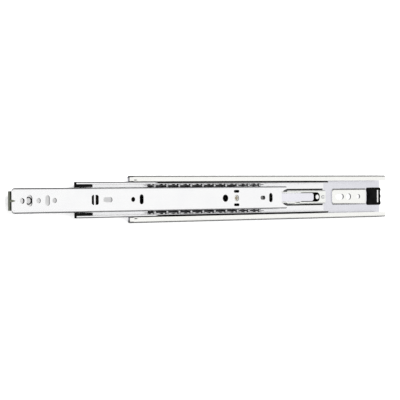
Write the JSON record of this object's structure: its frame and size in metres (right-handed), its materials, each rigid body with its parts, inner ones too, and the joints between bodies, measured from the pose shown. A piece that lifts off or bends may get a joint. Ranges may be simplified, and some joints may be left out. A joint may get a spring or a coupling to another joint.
{
  "type": "drawer slide",
  "caption": "Full-extension ball-bearing drawer slide: cabinet, intermediate and drawer members telescope on caged balls, drawn part open.",
  "frame": {"origin": "middle of the cabinet member's mounting face (half its length, on the slide's centre line)", "axes": "+X to the rear along the slide, +Y across it, +Z from the cabinet side to the drawer; the drawer opens along -X"},
  "size_m": [0.4979, 0.0456, 0.0127],
  "materials": {
    "drawer_zinc": "bright zinc plate over rolled steel",
    "intermediate_zinc": "bright zinc plate over rolled steel",
    "cabinet_zinc": "bright zinc plate over rolled steel, faint lavender cast",
    "cage_steel": "dark oiled steel strip",
    "ball_steel": "polished bearing steel",
    "spring_steel": "bright spring strip",
    "rivet_steel": "yellow-brown passivated rivet steel",
    "black_plastic": "moulded black nylon",
    "black_rubber": "moulded black rubber"
  },
  "bodies": {
    "cabinet": {"cabinet_member": "cabinet_zinc", "rear_bumper": "black_rubber"},
    "outer_cage": {"outer_ball_lower_01": "ball_steel", "outer_ball_lower_02": "ball_steel", "outer_ball_lower_03": "ball_steel", "outer_ball_lower_04": "ball_steel", "outer_ball_lower_05": "ball_steel", "outer_ball_lower_06": "ball_steel", "outer_ball_lower_07": "ball_steel", "outer_ball_lower_08": "ball_steel", "outer_ball_upper_01": "ball_steel", "outer_ball_upper_02": "ball_steel", "outer_ball_upper_03": "ball_steel", "outer_ball_upper_04": "ball_steel", "outer_ball_upper_05": "ball_steel", "outer_ball_upper_06": "ball_steel", "outer_ball_upper_07": "ball_steel", "outer_ball_upper_08": "ball_steel", "outer_cage": "cage_steel"},
    "intermediate": {"detent_pin": "rivet_steel", "front_bumper_lower": "black_plastic", "front_bumper_upper": "black_plastic", "intermediate_member": "intermediate_zinc", "latch_plate": "drawer_zinc", "latch_rivet_front": "rivet_steel", "latch_rivet_rear": "rivet_steel", "latch_spring": "spring_steel"},
    "inner_cage": {"inner_ball_lower_01": "ball_steel", "inner_ball_lower_02": "ball_steel", "inner_ball_lower_03": "ball_steel", "inner_ball_lower_04": "ball_steel", "inner_ball_lower_05": "ball_steel", "inner_ball_lower_06": "ball_steel", "inner_ball_lower_07": "ball_steel", "inner_ball_lower_08": "ball_steel", "inner_ball_lower_09": "ball_steel", "inner_ball_lower_10": "ball_steel", "inner_ball_upper_01": "ball_steel", "inner_ball_upper_02": "ball_steel", "inner_ball_upper_03": "ball_steel", "inner_ball_upper_04": "ball_steel", "inner_ball_upper_05": "ball_steel", "inner_ball_upper_06": "ball_steel", "inner_ball_upper_07": "ball_steel", "inner_ball_upper_08": "ball_steel", "inner_ball_upper_09": "ball_steel", "inner_ball_upper_10": "ball_steel", "inner_cage": "cage_steel"},
    "drawer": {"disconnect_rivet": "rivet_steel", "disconnect_spring": "spring_steel", "drawer_member": "drawer_zinc"}
  },
  "joints": [
    {"name": "intermediate_slide", "type": "slide", "parent": "cabinet", "child": "intermediate", "axis": [-1, 0, 0], "range_m": [-0.065, 0.095]},
    {"name": "outer_cage_slide", "type": "slide", "parent": "cabinet", "child": "outer_cage", "axis": [-1, 0, 0], "range_m": [-0.0325, 0.0475]},
    {"name": "drawer_slide", "type": "slide", "parent": "intermediate", "child": "drawer", "axis": [-1, 0, 0], "range_m": [-0.0772, 0.1053]},
    {"name": "inner_cage_slide", "type": "slide", "parent": "intermediate", "child": "inner_cage", "axis": [-1, 0, 0], "range_m": [-0.0386, 0.05265]}
  ],
  "couplings": [
    {"joint": "outer_cage_slide", "follows": "intermediate_slide", "ratio": 0.5},
    {"joint": "inner_cage_slide", "follows": "drawer_slide", "ratio": 0.5}
  ]
}
